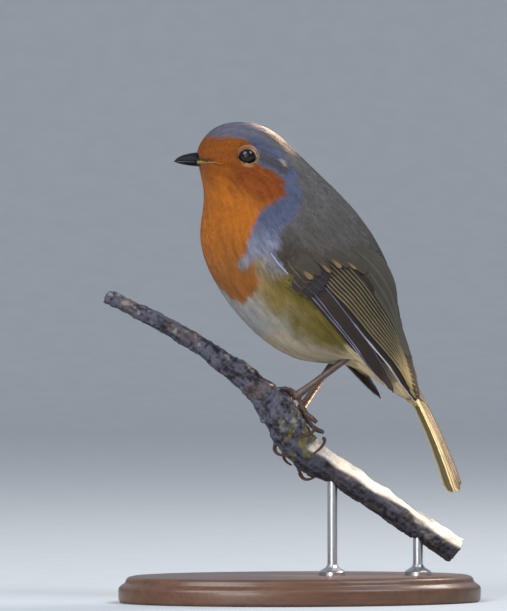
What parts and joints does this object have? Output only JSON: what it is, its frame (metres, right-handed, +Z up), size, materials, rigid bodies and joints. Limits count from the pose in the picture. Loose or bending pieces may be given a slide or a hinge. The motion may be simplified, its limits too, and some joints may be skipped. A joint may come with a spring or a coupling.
{
  "type": "european robin on a display stand",
  "caption": "Life-size European robin perched on a cut twig, head level, wings folded and tail down, held by an oval display base with short rods.",
  "frame": {"origin": "centre of the underside of the display base, on the surface that it stands on", "axes": "+Z up; the bird faces -X and its left side faces -Y"},
  "size_m": [0.1139, 0.068, 0.144],
  "materials": {
    "face_plumage": "soft orange feathers of the face and bib, olive brown on the crown",
    "neck_plumage": "soft feathers, orange on the throat, blue-grey at the side and olive brown behind",
    "body_plumage": "soft feathers, olive brown on the back, orange on the breast, whitish on the belly and olive buff on the flanks",
    "wing_feathers": "dark brown vanes with olive buff edges",
    "tail_feathers": "warm brown vanes, paler below",
    "bill_horn": "smooth blackish horn",
    "eye_gloss": "wet, very dark brown eye",
    "leg_skin": "thin scaled skin, dark brown",
    "claw_horn": "smooth brown horn",
    "bark": "rough grey-brown bark",
    "stand_wood": "dark satin lacquer",
    "stand_steel": "satin steel rod"
  },
  "bodies": {
    "root": {"head": "face_plumage", "neck": "neck_plumage", "trunk": "body_plumage", "bill_upper": "bill_horn", "bill_lower": "bill_horn", "eye_left": "eye_gloss", "wing_left_coverts": "wing_feathers", "wing_left_secondaries": "wing_feathers", "wing_left_primaries": "wing_feathers", "eye_right": "eye_gloss", "wing_right_coverts": "wing_feathers", "wing_right_secondaries": "wing_feathers", "wing_right_primaries": "wing_feathers", "tail_left": "tail_feathers", "tail_centre": "tail_feathers", "tail_right": "tail_feathers", "claw_left_inner": "claw_horn", "claw_left_middle": "claw_horn", "claw_left_outer": "claw_horn", "claw_left_hind": "claw_horn", "toe_left_hind": "leg_skin", "toe_left_inner": "leg_skin", "toe_left_middle": "leg_skin", "toe_left_outer": "leg_skin", "leg_left": "leg_skin", "claw_right_inner": "claw_horn", "claw_right_middle": "claw_horn", "claw_right_outer": "claw_horn", "claw_right_hind": "claw_horn", "toe_right_hind": "leg_skin", "toe_right_inner": "leg_skin", "toe_right_middle": "leg_skin", "toe_right_outer": "leg_skin", "leg_right": "leg_skin", "stand_rod_front": "stand_steel", "stand_rod_rear": "stand_steel", "perch": "bark", "stand_base": "stand_wood"}
  },
  "joints": []
}
